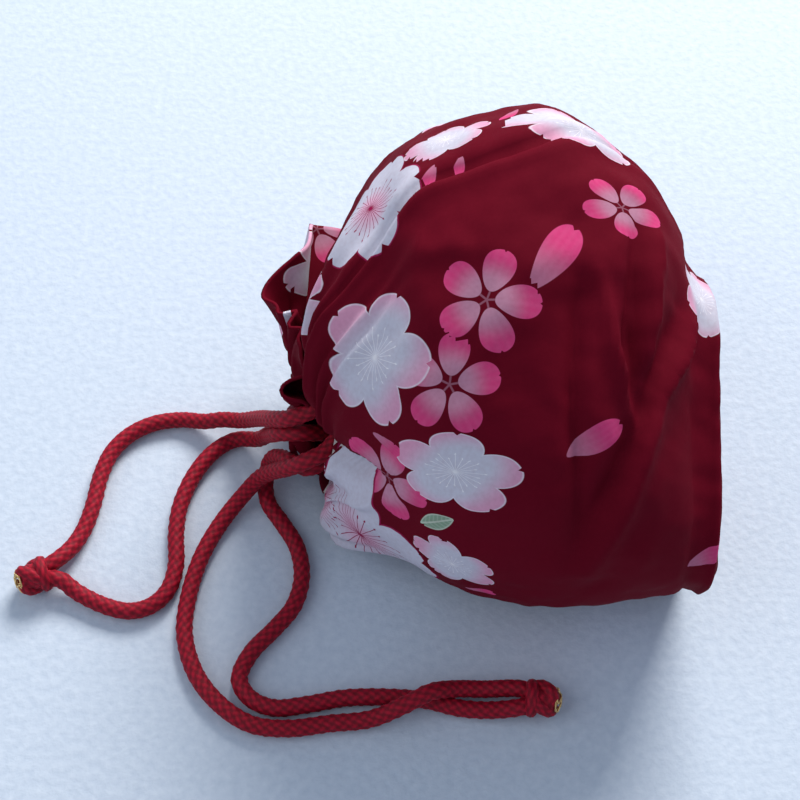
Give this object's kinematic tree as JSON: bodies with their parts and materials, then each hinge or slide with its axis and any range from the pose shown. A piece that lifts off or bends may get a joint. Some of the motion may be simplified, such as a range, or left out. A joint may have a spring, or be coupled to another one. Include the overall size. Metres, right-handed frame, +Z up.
{
  "type": "drawstring pouch",
  "caption": "Lined cotton kinchaku pouch with a boxed base, lying on its side and drawn shut by braided cords that end in knots with gold bead caps.",
  "frame": {"origin": "on the surface that the pouch lies on, below the middle of its cloth", "axes": "+Z up from the surface, +X from the drawn neck to the boxed base, +Y away from the open slit, across the pouch's width"},
  "size_m": [0.1935, 0.1539, 0.1167],
  "materials": {
    "printed_cotton": "plain-weave cotton, burgundy, printed with pink and lilac-white blossoms",
    "lining": "plain matt cotton lining",
    "braid": "eight-strand round braid, crimson, slight sheen",
    "gold": "bright gilt"
  },
  "bodies": {
    "root": {"outer_bag": "printed_cotton", "lining_bag": "lining", "front_casing": "printed_cotton", "back_casing": "printed_cotton", "far_cord": "braid", "near_cord": "braid", "far_knot": "braid", "near_knot": "braid", "far_cap": "gold", "near_cap": "gold"}
  },
  "joints": []
}
